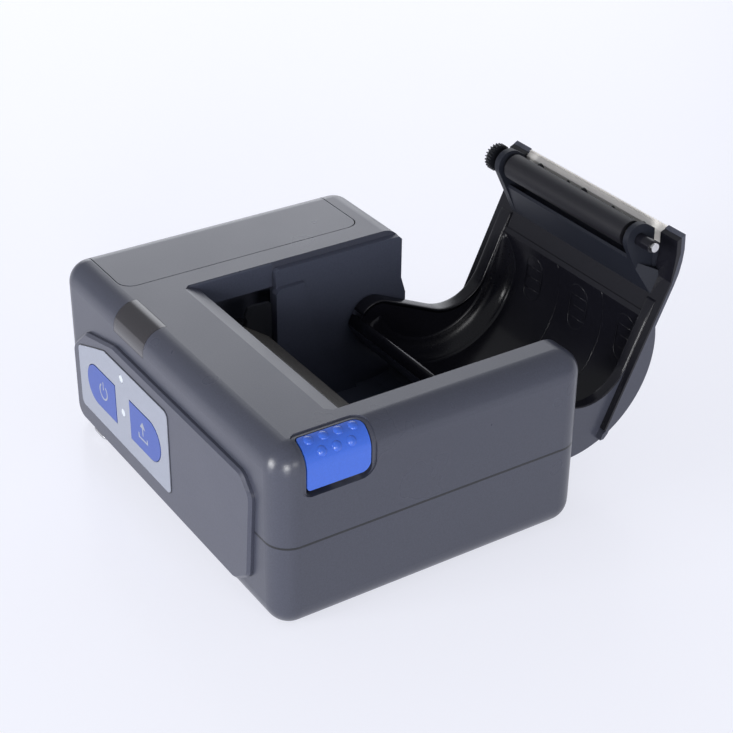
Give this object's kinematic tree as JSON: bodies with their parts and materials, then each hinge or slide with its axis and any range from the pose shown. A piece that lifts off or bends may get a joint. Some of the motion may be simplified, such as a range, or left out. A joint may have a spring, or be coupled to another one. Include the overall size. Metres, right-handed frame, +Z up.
{
  "type": "receipt printer",
  "caption": "Portable receipt printer with a hinged paper cover that carries the platen roller, a blue release button and two keys on the front panel.",
  "frame": {"origin": "middle of the flat underside of the casing, on the table", "axes": "+X to the right seen from the keys, +Y to the rear, +Z up"},
  "size_m": [0.1144, 0.129, 0.0689],
  "materials": {
    "casing_grey": "fine matte texture",
    "inner_plastic": "satin, dark blue-grey",
    "panel_grey": "fine matte texture",
    "label_silver": "satin film",
    "key_blue": "satin film over a dome",
    "button_blue": "satin gloss",
    "smoked_window": "gloss, smoked",
    "glossy_black": "gloss",
    "black_plastic": "satin",
    "steel_plate": "plated",
    "bright_steel": "bright",
    "tear_steel": "warm satin",
    "platen_rubber": "ground matte",
    "head_ceramic": "glazed",
    "aluminium": "milled",
    "board_green": "solder mask",
    "cell_wrap": "shrink wrap",
    "film_amber": "polyimide film",
    "contact_gold": "plated",
    "lens_clear": "clear"
  },
  "bodies": {
    "body": {"bottom_shell": "casing_grey", "top_shell": "casing_grey", "bay_frame": "inner_plastic", "front_panel": "panel_grey", "battery_pack": "cell_wrap", "battery_contacts": "contact_gold", "keypad_label": "label_silver", "keypad_board": "board_green", "led_lenses": "lens_clear", "ir_window": "smoked_window", "release_spring": "bright_steel", "latch_pin": "bright_steel", "mech_frame": "black_plastic", "print_head": "head_ceramic", "head_heatsink": "aluminium", "head_springs": "bright_steel", "head_cable": "film_amber", "paper_guide": "black_plastic", "paper_sensor": "black_plastic", "stepper_motor": "steel_plate", "idler_post": "bright_steel", "hinge_pin_left": "bright_steel", "hinge_pin_right": "bright_steel", "main_board": "board_green", "fiscal_memory": "black_plastic", "sounder": "black_plastic", "charge_socket": "black_plastic", "case_screws": "bright_steel", "strap_eye": "bright_steel"},
    "cover": {"cover_shell": "casing_grey", "cover_liner": "glossy_black", "tear_bar": "tear_steel", "platen_bracket": "inner_plastic", "platen_bush_left": "glossy_black", "platen_bush_right": "glossy_black"},
    "platen": {"platen_shaft": "bright_steel", "platen_rubber": "platen_rubber", "platen_gear": "black_plastic"},
    "release_button": {"release_button": "button_blue"},
    "latch_lever": {"latch_lever": "steel_plate"},
    "key_power": {"key_power": "key_blue"},
    "key_feed": {"key_feed": "key_blue"},
    "battery_lid": {"battery_lid": "casing_grey"},
    "motor_rotor": {"motor_pinion": "contact_gold"},
    "idler": {"idler_gear": "black_plastic"}
  },
  "joints": [
    {"name": "cover_hinge", "type": "hinge", "parent": "body", "child": "cover", "pos_m": [0, 0.0387, 0.0239], "axis": [1, 0, 0], "range_deg": [0, 114.5]},
    {"name": "platen_spin", "type": "hinge", "parent": "cover", "child": "platen", "pos_m": [0, 0.07455, 0.06471], "axis": [1, 0, 0], "continuous": true},
    {"name": "button_press", "type": "slide", "parent": "body", "child": "release_button", "axis": [0, 0, -1], "range_m": [0, 0.0012], "stiffness_N_per_m": 400, "springref_m": -0.0015, "deforming": ["release_spring"]},
    {"name": "latch_turn", "type": "hinge", "parent": "body", "child": "latch_lever", "pos_m": [0, -0.0205, 0.027], "axis": [1, 0, 0], "range_deg": [0, 8.6]},
    {"name": "power_press", "type": "slide", "parent": "body", "child": "key_power", "axis": [0, 1, 0], "range_m": [0, 0.0003], "stiffness_N_per_m": 1500, "springref_m": -0.0005},
    {"name": "feed_press", "type": "slide", "parent": "body", "child": "key_feed", "axis": [0, 1, 0], "range_m": [0, 0.0003], "stiffness_N_per_m": 1500, "springref_m": -0.0005},
    {"name": "lid_slide", "type": "slide", "parent": "body", "child": "battery_lid", "axis": [-1, 0, 0], "range_m": [0, 0.022]},
    {"name": "motor_spin", "type": "hinge", "parent": "body", "child": "motor_rotor", "pos_m": [0, -0.01195, 0.02453], "axis": [1, 0, 0], "continuous": true},
    {"name": "idler_spin", "type": "hinge", "parent": "body", "child": "idler", "pos_m": [0, -0.00946, 0.03137], "axis": [1, 0, 0], "continuous": true}
  ],
  "couplings": [
    {"joint": "latch_turn", "follows": "button_press", "rad_per_m": 125},
    {"joint": "idler_spin", "follows": "motor_spin", "ratio": -0.33333}
  ]
}
